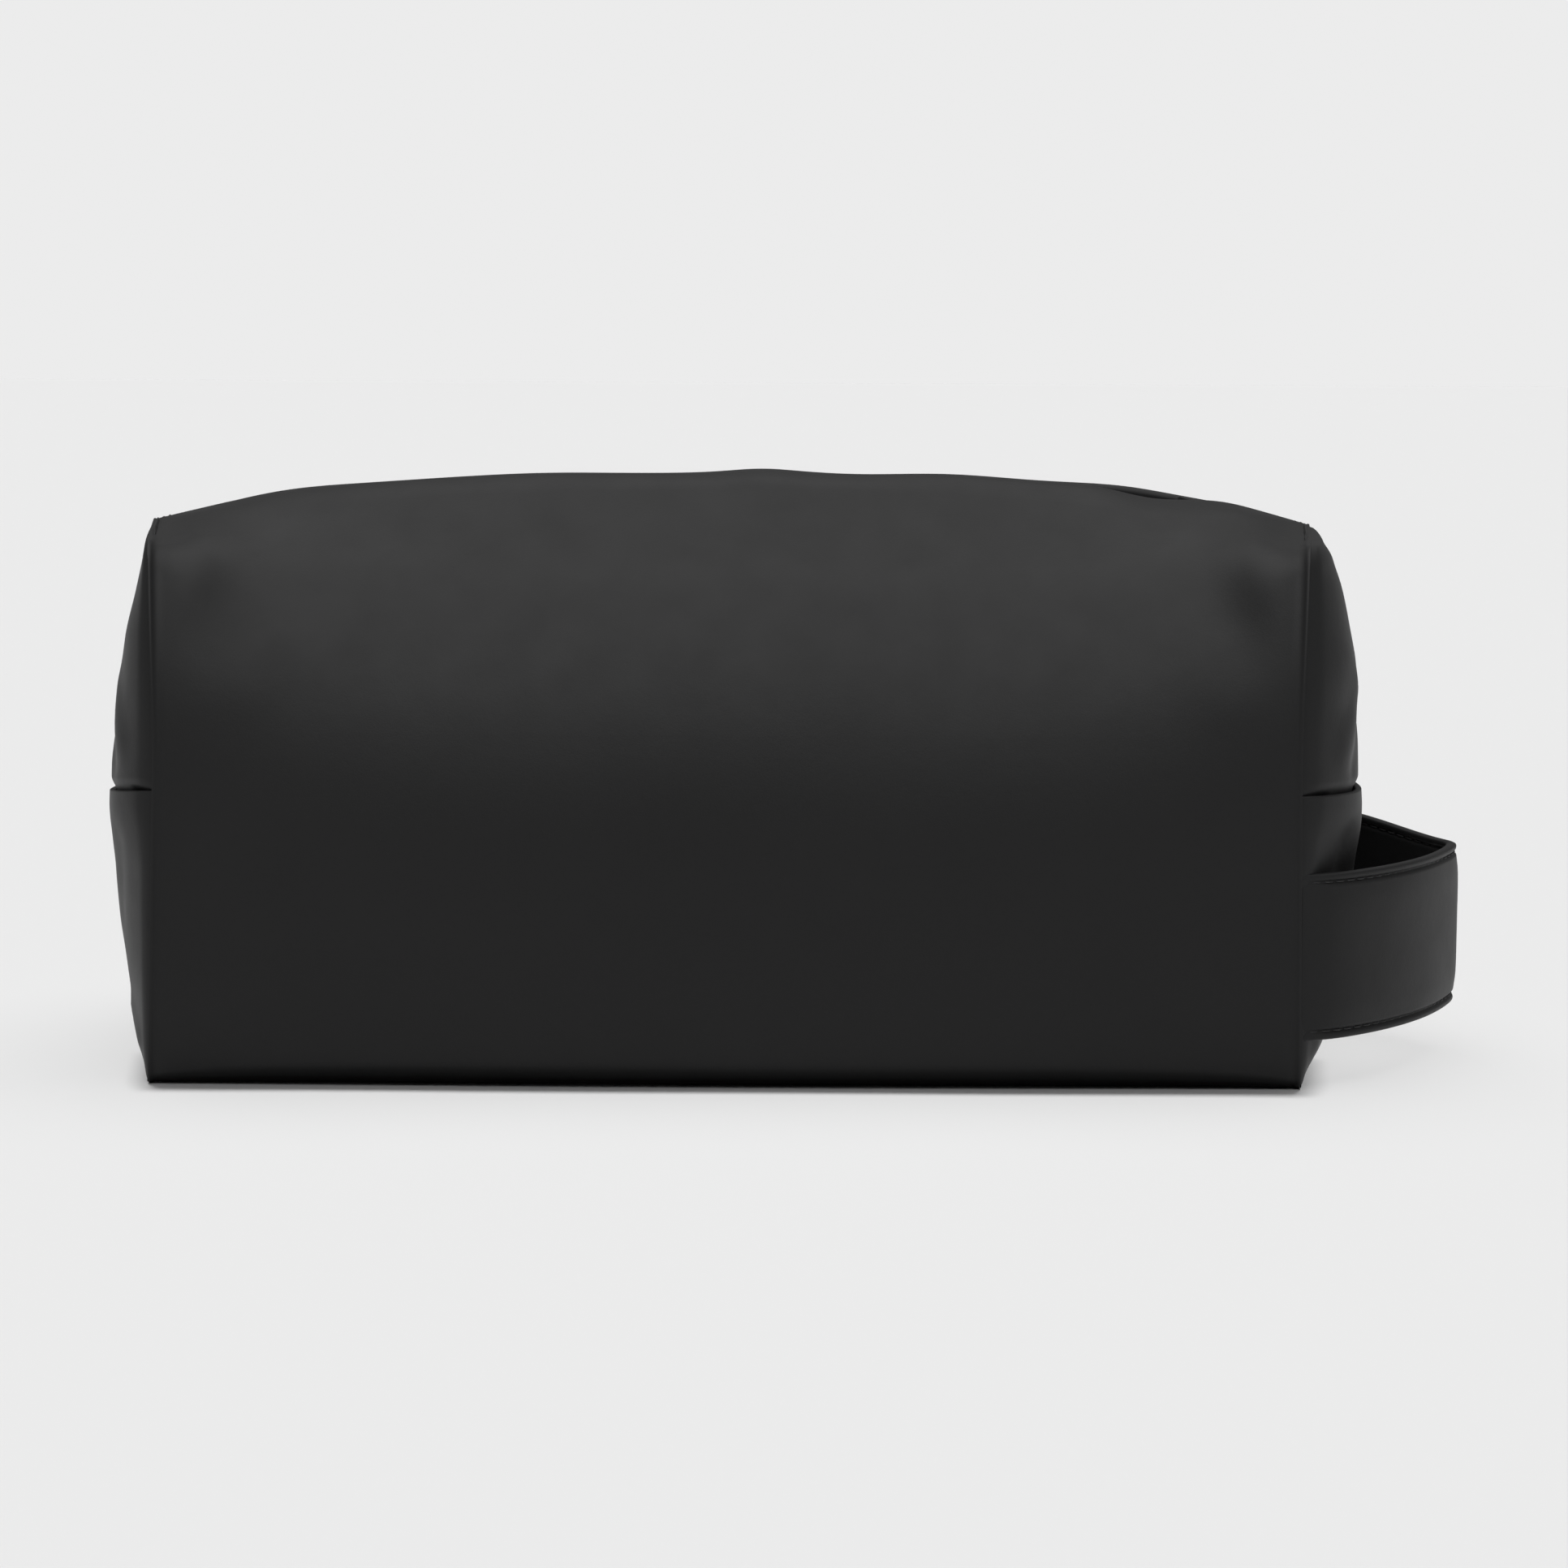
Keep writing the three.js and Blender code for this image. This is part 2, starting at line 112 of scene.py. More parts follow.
def smooth(x, low, high):
    t = np.clip((x - low) / (high - low), 0, 1)
    return t * t * (3 - 2 * t)


def bump(x, centre, width):
    return np.exp(-(((x - centre) / width) ** 2))


def unit(v):
    return v / np.maximum(np.linalg.norm(v, axis=-1, keepdims=True), 1e-12)


def grid_normals(points):
    """Unit normals of a grid of points, along (columns) x (rows)."""
    return unit(np.cross(np.gradient(points, axis=1), np.gradient(points, axis=0)))


def crease(a, b, start, end, width, height):
    """A soft ridge (or a valley, if height is negative) along a line in the plane of a and b."""
    ax, az = start
    bx, bz = end
    length = math.hypot(bx - ax, bz - az)
    along = ((a - ax) * (bx - ax) + (b - az) * (bz - az)) / length
    off = ((a - ax) * (bz - az) - (b - az) * (bx - ax)) / length
    ends = smooth(along, -width, width) * (1 - smooth(along, length - width, length + width))
    return height * ends * np.exp(-((off / width) ** 2))


# ---- The shell's surface -------------------------------------------------------------------------
def crest_at(x):
    return CREST - CREST_DROP * (np.abs(x) / CREST_REACH) ** CREST_POWER


def lip_height(x):
    return crest_at(x) - 1.0


def foot_at(u):
    return mix(*FOOT_RADIUS, np.abs(u) ** 6)


def foot_flare(u):
    return mix(*FLARE_FOOT, (u + 1) / 2)


def section(u):
    """Depth, and the lengths and turns of the front half's stretches, at each u."""
    boxy = np.abs(u) ** BOXY_POWER
    wall_top = mix(*WALL_TOP, boxy)
    bend_z = mix(*BEND_Z, boxy)
    lean = np.radians(mix(*ROOF_LEAN, boxy))
    brow = mix(*BROW_RADIUS, boxy)
    depth = HALF_DEPTH + BELLY * (1 - u * u)
    hinge = np.arcsin((HINGE[1] - wall_top) / WALL_RADIUS)
    bend = np.arcsin((bend_z - wall_top) / WALL_RADIUS)
    reach = depth - WALL_RADIUS * (1 - np.cos(bend)) - brow * np.cos(lean)
    rise = crest_at(u * (HALF_WIDTH + FLARE_TOP)) - brow * (1 - np.sin(lean)) - bend_z
    turned = 1 - np.cos(lean - bend)
    corner = (rise * np.sin(lean) - reach * np.cos(lean)) / turned
    roof = (reach * (np.sin(lean) - np.sin(bend)) - rise * (np.cos(bend) - np.cos(lean))) / turned
    brow_end = np.arccos(LIP_Y / brow)
    flat = np.zeros_like(u)
    lengths = [
        foot_at(u) * math.pi / 2,
        wall_top - foot_at(u),
        WALL_RADIUS * hinge,
        WALL_RADIUS * (bend - hinge),
        corner * (lean - bend),
        roof,
        brow * (brow_end - lean),
        LIP_RADIUS * (math.pi - brow_end),
        flat + HEM,
    ]
    turns = [flat + math.pi / 2, flat, hinge, bend - hinge, lean - bend, flat]
    turns += [brow_end - lean, math.pi - brow_end, flat]
    return depth, lengths, turns


def shell(side, u, v):
    """Grid of outer surface points (rows v, columns u) in millimetres; side is -1 in front, 1 behind."""
    depth, lengths, turns = section(u)
    rows = []
    for station in v:
        y = foot_at(u) - depth
        z = np.zeros_like(u)
        heading = np.full_like(u, -math.pi / 2)
        for k in range(min(len(lengths), math.ceil(station - 1e-9))):
            share = min(station - k, 1.0)
            length = lengths[k] * share
            half = turns[k] * share / 2
            chord = length * np.sinc(half / math.pi)
            y = y + chord * np.sin(heading + half)
            z = z + chord * np.cos(heading + half)
            heading = heading + 2 * half
        foot = foot_flare(u) * np.maximum(0, 1 - z / FLARE_Z)
        top = np.where(z > foot_at(u), FLARE_TOP * np.maximum(0, (depth + y) / depth) ** 0.75, 0)
        rows.append(np.stack([u * (HALF_WIDTH + foot + top), -side * y, z], -1))
    return np.array(rows)


def seam_curve(end):
    """An end seam's distance out and half depth as functions of height."""
    points = shell(-1, np.array([float(end)]), np.linspace(0.02, 7, 400))[:, 0]
    return lambda z: (np.interp(z, points[:, 2], end * points[:, 0]), np.interp(z, points[:, 2], -points[:, 1]))


SEAM = {end: seam_curve(end) for end in (-1, 1)}


# ---- Mesh building -------------------------------------------------------------------------------
def sheet_piece(name, points, flip=False):
    """A one-sided grid mesh from millimetre points, with UVs in metres along the grid."""
    rows, columns = points.shape[:2]
    index = np.arange(rows * columns).reshape(rows, columns)
    quads = np.stack([index[:-1, :-1], index[:-1, 1:], index[1:, 1:], index[1:, :-1]], -1).reshape(-1, 4)
    if flip:
        quads = quads[:, ::-1]
    across = np.linalg.norm(np.diff(points, axis=1, prepend=points[:, :1]), axis=-1).cumsum(axis=1)
    up = np.linalg.norm(np.diff(points, axis=0, prepend=points[:1]), axis=-1).cumsum(axis=0)
    uv = np.stack([across - across[:, -1:] / 2, up], -1).reshape(-1, 2) * MM
    mesh = bpy.data.meshes.new(name)
    mesh.from_pydata((points.reshape(-1, 3) * MM).tolist(), [], quads.tolist())
    layer = mesh.uv_layers.new(name="sheet")
    layer.data.foreach_set("uv", uv[quads.ravel()].astype(np.float32).ravel())
    mesh.shade_smooth()
    piece = bpy.data.objects.new(name, mesh)
    bpy.context.scene.collection.objects.link(piece)
    return piece


def bake(piece):
    """Applies the piece's modifiers to its mesh."""
    bpy.context.view_layer.update()
    done = bpy.data.meshes.new_from_object(piece.evaluated_get(bpy.context.evaluated_depsgraph_get()))
    piece.modifiers.clear()
    piece.data = done
    return piece


def thicken(piece, thickness, edge):
    """Gives a sheet its thickness, inwards, with rounded rims."""
    solid = piece.modifiers.new("thickness", "SOLIDIFY")
    solid.thickness = thickness * MM
    solid.offset = -1
    rim = piece.modifiers.new("rim", "BEVEL")
    rim.width = edge * MM
    rim.segments = 3
    rim.limit_method = "ANGLE"
    rim.angle_limit = math.radians(50)
    bake(piece)
    piece.data.shade_smooth()
    return piece


def tube(name, path, radius, sides=8, closed=False):
    """A round tube along millimetre points."""
    path = np.asarray(path, float)
    ahead = np.roll(path, -1, 0) - np.roll(path, 1, 0)
    if not closed:
        ahead[0], ahead[-1] = path[1] - path[0], path[-1] - path[-2]
    ahead = unit(ahead)
    up = np.array([0.0, 0.0, 1.0])
    side = unit(np.cross(ahead, up) + 1e-6)
    top = np.cross(side, ahead)
    angle = np.linspace(0, 2 * math.pi, sides, endpoint=False)
    ring = path[:, None] + radius * (
        side[:, None] * np.cos(angle)[None, :, None] + top[:, None] * np.sin(angle)[None, :, None]
    )
    count = len(path)
    faces = []
    for i in range(count if closed else count - 1):
        j = (i + 1) % count
        for k in range(sides):
            m = (k + 1) % sides
            faces.append((i * sides + k, i * sides + m, j * sides + m, j * sides + k))
    if not closed:
        faces.append(tuple(range(sides))[::-1])
        faces.append(tuple(range((count - 1) * sides, count * sides)))
    mesh = bpy.data.meshes.new(name)
    mesh.from_pydata((ring.reshape(-1, 3) * MM).tolist(), [], faces)
    mesh.shade_smooth()
    piece = bpy.data.objects.new(name, mesh)
    bpy.context.scene.collection.objects.link(piece)
    return piece


def finished(piece, material):
    piece.data.materials.clear()
    piece.data.materials.append(material)
    return piece


def opens(piece):
    """Bakes the piece's placement into its mesh and reads out its points, which nothing uses."""
    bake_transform(piece)
    points = np.zeros(len(piece.data.vertices) * 3)
    piece.data.vertices.foreach_get("co", points)
    return piece


# ---- Materials -----------------------------------------------------------------------------------
def new_material(name, colour, roughness):
    material = bpy.data.materials.new(name)
    material.use_nodes = True
    shader = material.node_tree.nodes["Principled BSDF"]
    shader.inputs["Base Color"].default_value = (*colour, 1)
    shader.inputs["Roughness"].default_value = roughness
    return material, material.node_tree, shader


def link(tree, source, target):
    tree.links.new(source, target)
    return target.node


def noise(tree, coordinate, scale, detail=3.0):
    node = tree.nodes.new("ShaderNodeTexNoise")
    node.inputs["Scale"].default_value = scale
    node.inputs["Detail"].default_value = detail
    tree.links.new(coordinate, node.inputs["Vector"])
    return node.outputs["Fac"]


def remap(tree, value, low, high):
    node = tree.nodes.new("ShaderNodeMapRange")
    node.inputs["To Min"].default_value = low
    node.inputs["To Max"].default_value = high
    tree.links.new(value, node.inputs["Value"])
    return node.outputs["Result"]


def bumped(tree, shader, height, distance, strength, under=None):
    node = tree.nodes.new("ShaderNodeBump")
    node.inputs["Distance"].default_value = distance
    node.inputs["Strength"].default_value = strength
    tree.links.new(height, node.inputs["Height"])
    if under is not None:
        tree.links.new(under, node.inputs["Normal"])
    tree.links.new(node.outputs["Normal"], shader.inputs["Normal"])
    return node.outputs["Normal"]


def maths(tree, operation, *values):
    node = tree.nodes.new("ShaderNodeMath")
    node.operation = operation
    for value, socket in zip(values, node.inputs):
        if isinstance(value, float):
            socket.default_value = value
        else:
            tree.links.new(value, socket)
    return node.outputs[0]


def tinted(tree, shader, fac, dark, light):
    node = tree.nodes.new("ShaderNodeMix")
    node.data_type = "RGBA"
    node.inputs["A"].default_value = (*dark, 1)
    node.inputs["B"].default_value = (*light, 1)
    tree.links.new(fac, node.inputs["Factor"])
    tree.links.new(node.outputs["Result"], shader.inputs["Base Color"])


def coated_fabric():
    """Matte rubberised coating: a very fine grain, faint mottling of colour and gloss."""
    material, tree, shader = new_material("coated_fabric", (0.007, 0.007, 0.0072), 0.5)
    at = tree.nodes.new("ShaderNodeTexCoord").outputs["Object"]
    cloudy = noise(tree, at, 38, 4)
    tinted(tree, shader, cloudy, (0.006, 0.006, 0.0062), (0.008, 0.008, 0.0083))
    tree.links.new(remap(tree, noise(tree, at, 90, 5), 0.46, 0.58), shader.inputs["Roughness"])
    grain = bumped(tree, shader, noise(tree, at, 2600, 2), 0.00006, 0.35)
    bumped(tree, shader, noise(tree, at, 420, 4), 0.00012, 0.25, grain)
    shader.inputs["Specular IOR Level"].default_value = 0.24
    shader.inputs["Sheen Weight"].default_value = 0.02
    shader.inputs["Sheen Roughness"].default_value = 0.5
    return material


def woven(name, colour, pitch, roughness, depth):
    """Plain weave from two crossed waves on the sheet's own UVs."""
    material, tree, shader = new_material(name, colour, roughness)
    at = tree.nodes.new("ShaderNodeTexCoord").outputs["UV"]
    waves = []
    for direction in ("X", "Y"):
        wave = tree.nodes.new("ShaderNodeTexWave")
        wave.bands_direction = direction
        wave.inputs["Scale"].default_value = 1 / (pitch * MM) / (2 * math.pi) * 0.5
        wave.inputs["Distortion"].default_value = 0.4
        tree.links.new(at, wave.inputs["Vector"])
        waves.append(wave.outputs["Fac"])
    product = maths(tree, "MULTIPLY", *waves)
    tinted(tree, shader, product, tuple(0.6 * c for c in colour), tuple(1.5 * c for c in colour))
    bumped(tree, shader, product, depth * MM, 0.6)
    return material


def plain(name, colour, roughness, grain, metallic=0.0):
    """Moulded nylon or painted metal: fine orange-peel bump and uneven gloss."""
    material, tree, shader = new_material(name, colour, roughness)
    shader.inputs["Metallic"].default_value = metallic
    at = tree.nodes.new("ShaderNodeTexCoord").outputs["Object"]
    uneven = noise(tree, at, grain, 4)
    tree.links.new(remap(tree, uneven, roughness * 0.85, roughness * 1.2), shader.inputs["Roughness"])
    tinted(tree, shader, uneven, tuple(0.85 * c for c in colour), tuple(1.15 * c for c in colour))
    bumped(tree, shader, noise(tree, at, grain * 4, 3), 0.00004, 0.3)
    return material


COATED = coated_fabric()
LINED = woven("lining_fabric", (0.012, 0.012, 0.0135), 0.35, 0.75, 0.08)
TAPED = woven("zip_tape", (0.010, 0.010, 0.011), 0.55, 0.8, 0.15)
NYLON = plain("zip_nylon", (0.008, 0.008, 0.009), 0.38, 900)
PAINTED = plain("zip_metal", (0.016, 0.016, 0.017), 0.34, 700, 0.6)
THREAD = plain("thread", (0.009, 0.009, 0.0095), 0.6, 1600)
BOARD = plain("base_stiffener", (0.04, 0.04, 0.04), 0.6, 300)


# ---- Wall panels ---------------------------------------------------------------------------------
def columns(count, reach=1.0, edge_cells=0):
    """u values across the bag, closer together towards the end seams, with fine cells beside them."""
    t = np.linspace(-1, 1, count)
    u = reach * (0.82 * t + 0.18 * np.sin(t * math.pi / 2))
    if not edge_cells:
        return u
    fine = np.linspace(EDGE_U, reach, edge_cells)
    return np.concatenate([-fine[::-1], u[np.abs(u) < EDGE_U - 0.004], fine])


def wall_relief(side, x, z, station):
    """How far the soft wall stands out of its smooth form, in millimetres."""
    edge = np.abs(x)
    waves = 0.35 * np.sin(x / 31 + 1.3 * side) * np.sin(z / 37 + 0.4) + 0.2 * np.sin(x / 17 - z / 23)
    relief = waves * smooth(z, 8, 40) * (1 - smooth(edge, 112, 128))
    relief -= 0.9 * bump(x, 115, 8) * bump(z, 107, 11)
    relief += 0.5 * bump(edge, 112, 10) * bump(z, 90, 9) + 2.0 * bump(edge, 121, 9) * bump(z, 120, 9)
    seam = np.where(x < 0, SEAM[-1](z)[0], SEAM[1](z)[0]) - edge
    relief = relief * smooth(seam, 0, 12)
    relief += 0.35 * bump(seam, 0.4, 0.5) - 0.15 * bump(seam, 1.8, 0.9)
    return relief * (1 - smooth(station, 6.2, 7))


def lip_wander(side, x):
    """The zip lips aren't straight: small rises and dips along the ridge, in millimetres."""
    shared = 0.5 * bump(x, 7, 9) - 0.35 * bump(x, -30, 14) - 0.5 * bump(x, -68, 16) + 0.15 * np.sin(x / 6.3)
    if side < 0:
        return shared - 1.3 * bump(x, 99, 10) + 0.7 * bump(x, 117, 9)
    return shared + 0.5 * bump(x, 95, 13) + 0.15 * np.sin(x / 8.7 + 1)


def wall_points(side, u, v, depth=0.0, relief=True):
    points = shell(side, u, v)
    normals = grid_normals(points) * -side
    stations = np.repeat(v[:, None], len(u), 1)
    if relief:
        points = points + normals * wall_relief(side, points[..., 0], points[..., 2], stations)[..., None]
        points[..., 2] += lip_wander(side, points[..., 0]) * smooth(stations, 5.2, 7)
    return points - normals * depth


def stations(*pairs):
    """Rows from (station, cells up to it) pairs."""
    rows, at = [0.0], 0.0
    for to, cells in pairs:
        rows += list(np.linspace(at, to, cells + 1)[1:])
        at = to
    return np.array(rows)


def wall(side):
    name = "front" if side < 0 else "back"
    rows = stations((1, 8), (2, 22), (3, 8), (4, 14), (5, 24), (6, 12), (7, 8), (8, 8), (9, 4))
    points = wall_points(side, columns(150, edge_cells=18), rows)
    piece = thicken(sheet_piece(f"{name}_wall", points, flip=side > 0), CLOTH, 0.5)
    finished(piece, COATED)
    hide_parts(f"{name}_panel", f"{name}_top_panel")
    return opens(piece)


def wall_lining(side):
    name = "front" if side < 0 else "back"
    rows = stations((1.1, 1), (2, 12), (3, 5), (4, 8), (5, 12), (6, 8))[1:]
    points = wall_points(side, columns(90, 0.985), rows, depth=CLOTH + 0.3)
    piece = thicken(sheet_piece(f"{name}_wall_lining", points, flip=side > 0), 0.5, 0.15)
    finished(piece, LINED)
    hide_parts(f"{name}_lining", f"{name}_top_lining")
    return opens(piece)


# ---- End panels ----------------------------------------------------------------------------------
def bulge_at(end, z):
    low = np.clip((END_SPLIT - z) / END_SPLIT, 0, 1)
    high = np.clip((z - END_SPLIT) / (CREST - CREST_DROP - END_SPLIT), 0, 1)
    body = np.where(z < END_SPLIT, 1 - 0.67 * low**2, 1 - 0.8 * high**2.5)
    if end < 0:
        worn = -1.0 * smooth(z, 45, 68) - 1.9 * smooth(z, 70, 92) - 0.7 * smooth(z, 100, 112)
    else:
        worn = 1.1 * smooth(z, 98, 116) - smooth(z, 55, 68) + 0.5 * bump(z, 97, 7)
        worn = worn + 0.3 * smooth(z, 117, 122) - 0.5 * bump(z, 86, 5) + 1.6 * smooth(z, 0, 8) * (1 - smooth(z, 10, 60))
    return BULGE[end] * body * (1 - 0.85 * np.maximum(0, 1 - z / 10) ** 3) + worn


def end_points(end, across, z, out, sewn=-0.3):
    """Points of an end panel: across runs -1 to 1 from the front seam to the rear one."""
    z = z[:, None] + 0 * across[None]
    across = across[None] + 0 * z
    seam_x, half = SEAM[end](z)
    edge = (1 - np.abs(across)) * half
    high = smooth(z, END_SPLIT - 22, END_SPLIT - 4)
    bulge = bulge_at(end, z) * (1 - np.abs(across) ** mix(2.8, 4, high))
    closing = np.sqrt(1 - (1 - np.clip((END_TOP - z) / TOP_ROUND, 0, 1)) ** 2)
    x = seam_x + (out(z, across) + bulge) * closing
    leaving = np.exp(-(np.maximum(edge - SEWN_DEPTH, 0) / 0.8) ** 1.3)
    x = mix(x, np.minimum(x, seam_x + sewn), leaving)
    return np.stack([end * x, across * half, z], -1)


def across_rows(count, inset):
    t = np.linspace(-1, 1, count)
    return (1 - inset / HALF_DEPTH) * (0.75 * t + 0.25 * np.sin(t * math.pi / 2))


def lap_height(end, across):
    """Height of the lower end panel's sagging top edge."""
    return LAP_TOP - LAP_SAG[end] * (1 - across**2)


def end_upper(end):
    name = "left" if end < 0 else "right"
    heights = [np.linspace(57, 60, 3), np.linspace(60, 72, 37), np.linspace(72, 118, 44), np.linspace(118, END_TOP, 26)]
    z = np.concatenate([heights[0], *(part[1:] for part in heights[1:])])

    def out(h, across):
        lap = lap_height(end, across)
        return 0.9 - 1.5 * (1 - smooth(h, lap - 0.8, lap + 3.2))

    points = end_points(end, across_rows(100, SEWN_DEPTH), z, out)
    points[..., 0] -= end * 1.1 * (1 - smooth(z, 66, 68.2))[:, None] * (np.abs(points[..., 1]) > 50)
    y, h = points[..., 1], points[..., 2]
    relief = crease(y, h, (-47, 74), (-30, 92), 4, 0.7) + crease(y, h, (-40, 70), (-26, 86), 3.5, -0.6)
    relief += SLIDER_ROOM * bump(y, 0, 9) * bump(h, 120, 4)
    points[..., 0] += end * relief * (1 - smooth(np.abs(y), 46, 54))
    piece = thicken(sheet_piece(f"{name}_end_upper", points, flip=end < 0), CLOTH, 0.4)
    finished(piece, COATED)
    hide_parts(f"{name}_end_upper_panel")
    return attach(piece, "bag")


def end_lower(end):
    name = "left" if end < 0 else "right"
    z = np.concatenate([np.linspace(0.1, 12, 16), np.linspace(12, 58, 28)[1:], np.linspace(58, LAP_TOP, 18)[1:]])

    def out(h, across):
        return 0.6 + LIP_OUT[end] * smooth(h, 55, 65)

    points = end_points(end, across_rows(100, SEWN_DEPTH), z, out)
    y, h = points[..., 1], points[..., 2]
    deep = 0.35 if end < 0 else 1.0
    relief = crease(y, h, (-42, 58), (-36, 34), 4, -0.9 * deep) + crease(y, h, (-33, 60), (-27, 30), 4.5, 0.8 * deep)
    relief += crease(y, h, (36, 62), (28, 26), 6, 0.7) + crease(y, h, (-50, 8), (-36, 16), 3, 0.7)
    relief -= 1.8 * (deep - 0.35) * bump(y, -48, 8) * bump(h, 43, 9)
    points[..., 0] += end * relief * (1 - smooth(np.abs(y), 50, 56))
    sag = lap_height(end, y / HALF_DEPTH) - LAP_TOP
    points[..., 2] += sag * smooth(h, 40, LAP_TOP)
    piece = thicken(sheet_piece(f"{name}_end_lower", points, flip=end < 0), 1.5, 0.7)
    finished(piece, COATED)
    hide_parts(f"{name}_end_lower_panel")
    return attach(piece, "bag")


def end_lining(end):
    name = "left" if end < 0 else "right"
    z = np.linspace(4.2, 116, 40)
    points = end_points(end, across_rows(40, 5.0), z, lambda h, across: -1.4 + 0 * h)
    piece = thicken(sheet_piece(f"{name}_end_lining_cloth", points, flip=end < 0), 0.5, 0.15)
    finished(piece, LINED)
    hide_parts(f"{name}_end_lining")
    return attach(piece, "bag")


# ---- Base ----------------------------------------------------------------------------------------
def base():
    for name, z, inset, reach, thick, material, slot in (
        ("base_panel", 0.0, 0.15, 1.004, CLOTH, COATED, "coated_fabric"),
        ("base_lining", 3.9, 0.0, 1.0, 0.5, LINED, "lining_fabric"),
    ):
        u = columns(60, reach)
        half = section(u)[0] - (foot_at(u) + inset if z == 0 else BASE_LINING_INSET)
        y = np.linspace(-1, 1, 30)[:, None] * half[None]
        x = np.repeat((u * (HALF_WIDTH + foot_flare(u)))[None], 30, 0)
        points = np.stack([x, y, np.full_like(x, z)], -1)
        piece = sheet_piece(f"{name}_cloth", points, flip=name == "base_panel")
        thicken(piece, thick, 0.2)
        finished(piece, material)
        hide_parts(name)
        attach(piece, "bag")
    finished(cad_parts["base_board"], BOARD)


# ---- Strap ---------------------------------------------------------------------------------------
def strap_path(count):
    """Plan points of the loop's outer face and its inward normals, evenly spaced, in millimetres."""
    control = np.array([(HALF_WIDTH + out, back - HALF_DEPTH) for out, back in STRAP_PLAN])
    first, last = 2 * control[0] - control[1], 2 * control[-1] - control[-2]
    control = np.vstack([first, control, last])
    dense = []
    for a, b, c, d in zip(control, control[1:], control[2:], control[3:]):
        knots = np.cumsum([0] + [math.sqrt(np.linalg.norm(q - p)) for p, q in ((a, b), (b, c), (c, d))])
        t = np.linspace(knots[1], knots[2], 40, endpoint=False)[:, None]
        ab = (knots[1] - t) / (knots[1] - knots[0]) * a + (t - knots[0]) / (knots[1] - knots[0]) * b
        bc = (knots[2] - t) / (knots[2] - knots[1]) * b + (t - knots[1]) / (knots[2] - knots[1]) * c
        cd = (knots[3] - t) / (knots[3] - knots[2]) * c + (t - knots[2]) / (knots[3] - knots[2]) * d
        abc = (knots[2] - t) / (knots[2] - knots[0]) * ab + (t - knots[0]) / (knots[2] - knots[0]) * bc
        bcd = (knots[3] - t) / (knots[3] - knots[1]) * bc + (t - knots[1]) / (knots[3] - knots[1]) * cd
        dense.append((knots[2] - t) / (knots[2] - knots[1]) * abc + (t - knots[1]) / (knots[2] - knots[1]) * bcd)
    dense = np.vstack([*dense, control[-2]])
    walked = np.concatenate([[0], np.linalg.norm(np.diff(dense, axis=0), axis=1).cumsum()])
    even = np.linspace(0, walked[-1], count)
    plan = np.stack([np.interp(even, walked, dense[:, k]) for k in (0, 1)], -1)
    ahead = unit(np.gradient(plan, axis=0))
    return plan, np.stack([-ahead[:, 1], ahead[:, 0]], -1), even


STITCH_INSET = 2.0


def strap_section():
    """The strap's cross-section as (depth under the outer face, height share 0 to 1) points, in a ring."""
    t = np.concatenate([np.linspace(0, 4, 17), np.linspace(4, STRAP_HEIGHT - 4, 20)[1:-1],
                        np.linspace(STRAP_HEIGHT - 4, STRAP_HEIGHT, 17)])
    edge = np.minimum(t, STRAP_HEIGHT - t)
    rounding = 0.75 * (1 - np.sqrt(np.clip(1 - (1 - np.clip(edge / 0.75, 0, 1)) ** 2, 0, 1)))
    groove = 0.75 * np.exp(-(((edge - STITCH_INSET) / 0.5) ** 2))
    puff = 0.35 * smooth(edge, STITCH_INSET, STITCH_INSET + 5)
    outer = rounding + groove - puff
    inner = STRAP_THICK - rounding - 0.8 * groove
    return np.concatenate([outer, inner[::-1]]), np.concatenate([t, t[::-1]])


def strap_height(height, share):
    """Height of a point of the strap: the rear leg is sewn in a little higher than the front one."""
    rise = STRAP_REAR[0] * smooth(share, 0.4, 0.8) + STRAP_REAR[1] * smooth(share, 0.55, 0.9)
    return STRAP_BOTTOM + height + STRAP_LIFT * np.sin(math.pi * share) ** 2 + rise


def strap_share(s, length):
    """How much of the strap's swing a point takes: none in the seams, all of it along the loop."""
    away = np.minimum(s, length - s)
    return smooth(away, 8, 34)


def swings(piece):
    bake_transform(piece)
    return piece


def strap():
    count = 170
    plan, inward, walked = strap_path(count)
    length = walked[-1]
    depth, height = strap_section()
    away = np.minimum(walked, length - walked)
    squeeze = mix(0.42, 1.0, smooth(away, 0, 9))[:, None]
    points = plan[:, None] + inward[:, None] * (depth[None] * squeeze)[..., None]
    ripple = 0.25 * np.sin(walked / 9)[:, None] * smooth(np.abs(height - STRAP_HEIGHT / 2), 8, 19)[None]
    points = points + inward[:, None] * ripple[..., None]
    z = strap_height(height[None], (walked / length)[:, None])
    ring = np.concatenate([points, z[..., None]], -1)
    sides = len(depth)
    faces = []
    for i in range(count - 1):
        for k in range(sides):
            m = (k + 1) % sides
            faces.append((i * sides + k, (i + 1) * sides + k, (i + 1) * sides + m, i * sides + m))
    faces.append(tuple(range(sides)))
    faces.append(tuple(range((count - 1) * sides, count * sides))[::-1])
    mesh = bpy.data.meshes.new("strap_loop")
    mesh.from_pydata((ring.reshape(-1, 3) * MM).tolist(), [], faces)
    mesh.shade_smooth()
    piece = bpy.data.objects.new("strap_loop", mesh)
    bpy.context.scene.collection.objects.link(piece)
    finished(piece, COATED)
    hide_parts("strap_face", "strap_backing", "strap_front_anchor", "strap_rear_anchor")
    swings(piece)
    strap_stitches(plan, inward, walked)


